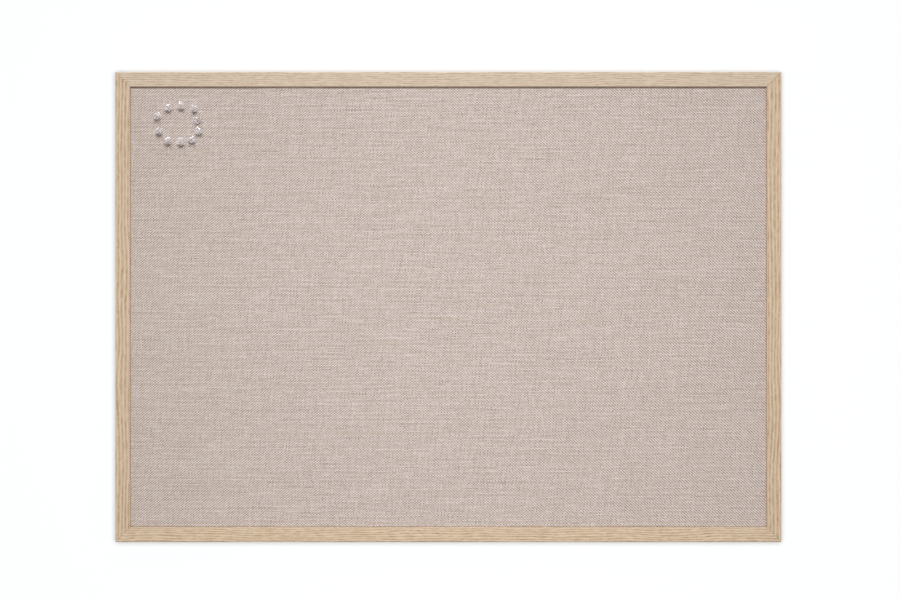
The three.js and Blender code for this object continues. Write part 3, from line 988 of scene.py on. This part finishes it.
def pressed_fibre(name, dark, light, fibre, roughness):
    material, shade = new_finish(name)
    place = shade.node("TexCoord", output="Object")
    felt = place.noise(1 / fibre, FELT_DETAIL, FELT_CURL).step(*FELT_STEP)
    clouds = place.noise(1 / CLOUD_SIZE, FELT_DETAIL).step(*CLOUD_STEP)
    tone = felt * (1 - CLOUD_SHARE) + clouds * CLOUD_SHARE
    surface(
        shade,
        Base_Color=tone.mix(dark, light),
        Roughness=roughness - felt * FELT_ROUGHNESS,
        Normal=felt.bump(FELT_RELIEF),
    )
    return material


core_finish = pressed_fibre("fibreboard", FIBRE_DARK, FIBRE_LIGHT, FIBRE_SIZE, FIBRE_ROUGHNESS)
back_finish = pressed_fibre("hardboard", BOARD_DARK, BOARD_LIGHT, BOARD_FIBRE_SIZE, BOARD_ROUGHNESS)
refinish("fibreboard_core", core_finish)
refinish("backing_board", back_finish)
for node in frame["nodes"]:
    if node.startswith(("v_nail", "hanger_strap")):
        refinish(node, zinc_finish)
    if node.startswith("flex_point"):
        refinish(node, steel_finish)
print("Finished the boards, the nails, the points and the straps")

# %% [markdown]
# ## Hanger rings
# A D-ring is round wire bent to a D, with its two ends butted inside the strap's barrel. A circle
# follows that path: it is extruded along each straight and spun round each bend. A curve with a
# round bevel looks alike, but this leaves one closed mesh with capped ends.

# %% Hanger rings
RING_WIRE = 1.8 * MM
RING_CORNER = 1.6 * MM
RING_SHOULDER = 4 * MM
RING_HALF_WIDTH = 5.5 * MM
RING_BUTT_GAP = 0.5 * MM
RING_LEAN = math.radians(4.53)
WIRE_SIDES = 16
CORNER_STEPS = 8
BOW_STEPS = 32


def edges_of(geometry):
    return [item for item in geometry if isinstance(item, bmesh.types.BMEdge)]


def straight(bm, end, way):
    """Lengthen the wire from its end loop."""
    grown = bmesh.ops.extrude_edge_only(bm, edges=end)["geom"]
    bmesh.ops.translate(bm, vec=way, verts=verts_of(grown))
    return [edge for edge in edges_of(grown) if edge.is_boundary]


def bent(bm, end, middle, angle, steps):
    """Bend the wire round a point of the ring's plane."""
    spun = bmesh.ops.spin(bm, geom=end, cent=middle, axis=(0, -1, 0), angle=angle, steps=steps)
    return edges_of(spun["geom_last"])


def ring_wire():
    bm = bmesh.new()
    bmesh.ops.create_circle(bm, cap_ends=False, radius=RING_WIRE / 2, segments=WIRE_SIDES)
    corner_x = RING_HALF_WIDTH - RING_CORNER
    half_gap = RING_BUTT_GAP / 2
    start = Matrix.Translation((half_gap, 0, 0)) @ Matrix.Rotation(math.radians(90), 4, "Y")
    bmesh.ops.transform(bm, matrix=start, verts=bm.verts)
    end = bm.edges[:]
    end = straight(bm, end, (corner_x - half_gap, 0, 0))
    end = bent(bm, end, (corner_x, 0, RING_CORNER), math.pi / 2, CORNER_STEPS)
    end = straight(bm, end, (0, 0, RING_SHOULDER - RING_CORNER))
    end = bent(bm, end, (0, 0, RING_SHOULDER), math.pi, BOW_STEPS)
    end = straight(bm, end, (0, 0, RING_CORNER - RING_SHOULDER))
    end = bent(bm, end, (-corner_x, 0, RING_CORNER), math.pi / 2, CORNER_STEPS)
    straight(bm, end, (corner_x - half_gap, 0, 0))
    bmesh.ops.holes_fill(bm, edges=border(bm), sides=WIRE_SIDES)
    bmesh.ops.recalc_face_normals(bm, faces=bm.faces)
    return bm


for side in ("left", "right"):
    bm = ring_wire()
    pivot = Matrix.Translation(joints[f"ring_{side}_swing"]["pos_m"])
    bmesh.ops.transform(bm, matrix=pivot @ Matrix.Rotation(RING_LEAN, 4, "X"), verts=bm.verts)
    smoothed(piece(f"d_ring_{side}", bm, zinc_finish, f"ring_{side}", "zinc", f"hanger_ring_{side}"))
print("Bent two rings of", round(RING_WIRE / MM, 1), "mm wire")

# %% [markdown]
# ## Screws
# A pan head screw holds each strap. Its head is turned, and four cuts each way across the flat top
# give the faces of a cross, which are pushed in as the recess. A boolean cut would do the same and
# leave more to clean up.

# %% Screws
SCREW_SHANK = 1.5 * MM
SCREW_TIP = 3 * MM
SCREW_HEAD_RADIUS = 2.75 * MM
SCREW_HEAD_HEIGHT = 1.8 * MM
SCREW_HEAD_EDGE = 0.2 * MM
SCREW_FLAT_RADIUS = 1.87 * MM
RECESS_HALF_WIDTH = 0.4 * MM
RECESS_HALF_LENGTH = 1.5 * MM
RECESS_DEPTH = 1.0 * MM
TOP_TOLERANCE = 0.01 * MM
CUT_TOLERANCE = 0.0001 * MM


def screw_outline(length):
    """From the tip to the top of the head, which is at height 0."""
    head, under = SCREW_HEAD_RADIUS, -SCREW_HEAD_HEIGHT
    return [
        (0, -length),
        (SCREW_SHANK, SCREW_TIP - length),
        (SCREW_SHANK, under),
        (head, under),
        *flare((head, under + SCREW_HEAD_EDGE), (head, 0), (SCREW_FLAT_RADIUS, 0)),
        (0, 0),
    ]


def top_faces(bm):
    return [face for face in bm.faces if face.calc_center_median().z > -TOP_TOLERANCE]


def in_cross(face):
    middle = face.calc_center_median()
    near, far = sorted((abs(middle.x), abs(middle.y)))
    return near < RECESS_HALF_WIDTH and far < RECESS_HALF_LENGTH


def cut_top(bm, place, normal):
    """Cut the flat top of a screw's head along a line."""
    flat = top_faces(bm)
    cut = flat + list({edge for face in flat for edge in face.edges})
    bmesh.ops.bisect_plane(bm, geom=cut, plane_co=place, plane_no=normal, dist=CUT_TOLERANCE)


def sink_recess(bm):
    """Cut a cross into the flat top of a screw's head and push it in."""
    bmesh.ops.dissolve_faces(bm, faces=top_faces(bm))
    for normal in (Vector((1, 0, 0)), Vector((0, 1, 0))):
        for side in (-1, 1):
            for offset in (RECESS_HALF_WIDTH, RECESS_HALF_LENGTH):
                cut_top(bm, normal * offset * side, normal)
    cross = [face for face in top_faces(bm) if in_cross(face)]
    grown = bmesh.ops.extrude_face_region(bm, geom=cross)["geom"]
    bmesh.ops.delete(bm, geom=cross, context="FACES_ONLY")
    bmesh.ops.translate(bm, vec=(0, 0, -RECESS_DEPTH), verts=verts_of(grown))
    bmesh.ops.recalc_face_normals(bm, faces=bm.faces)


def standing_out(node):
    """A matrix that stands a turned piece on a node's axis, with its top towards the wall."""
    low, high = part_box(node)
    middle = (low + high) / 2
    to_wall = Matrix.Rotation(math.radians(-90), 4, "X")
    return Matrix.Translation((middle.x, high.y, middle.z)) @ to_wall


for side in ("left", "right"):
    screw_node = f"hanger_screw_{side}"
    screw_low, screw_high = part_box(screw_node)
    bm = turned(screw_outline(screw_high.y - screw_low.y))
    sink_recess(bm)
    bmesh.ops.transform(bm, matrix=standing_out(screw_node), verts=bm.verts)
    smoothed(piece(f"pan_screw_{side}", bm, steel_finish, "board", "steel", screw_node))
print("Made two screws", round((screw_high.y - screw_low.y) / MM, 1), "mm long")

# %% [markdown]
# ## Wall bumpers
# Two dots of dark rubber keep the lower edge off the wall. They are turned like the screws, with a
# rounded arris, and a fine noise gives the rubber its dull grain.

# %% Wall bumpers
BUMPER_ARRIS = 0.8 * MM
RUBBER_DARK = display_colour(46, 46, 48)
RUBBER_LIGHT = display_colour(66, 66, 68)
RUBBER_GRAINS_PER_METRE = 2500.0
RUBBER_ROUGHNESS = 0.7
RUBBER_GRAIN_ROUGHNESS = 0.2
RUBBER_RELIEF = 0.03 * MM


def rubber():
    material, shade = new_finish("rubber")
    grain = shade.node("TexCoord", output="Object").noise(RUBBER_GRAINS_PER_METRE)
    surface(
        shade,
        Base_Color=grain.mix(RUBBER_DARK, RUBBER_LIGHT),
        Roughness=RUBBER_ROUGHNESS + grain * RUBBER_GRAIN_ROUGHNESS,
        Normal=grain.bump(RUBBER_RELIEF),
    )
    return material


def bumper_outline(radius, height):
    return [
        (0, -height),
        (radius, -height),
        *flare((radius, -BUMPER_ARRIS), (radius, 0), (radius - BUMPER_ARRIS, 0)),
        (0, 0),
    ]


rubber_finish = rubber()
for side in ("left", "right"):
    bumper_node = f"wall_bumper_{side}"
    bumper_low, bumper_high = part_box(bumper_node)
    bumper_size = bumper_high - bumper_low
    bm = turned(bumper_outline(bumper_size.x / 2, bumper_size.y))
    bmesh.ops.transform(bm, matrix=standing_out(bumper_node), verts=bm.verts)
    smoothed(piece(f"rubber_dot_{side}", bm, rubber_finish, "board", "rubber", bumper_node))
print("Made two bumpers", round(bumper_size.x / MM, 1), "mm across")
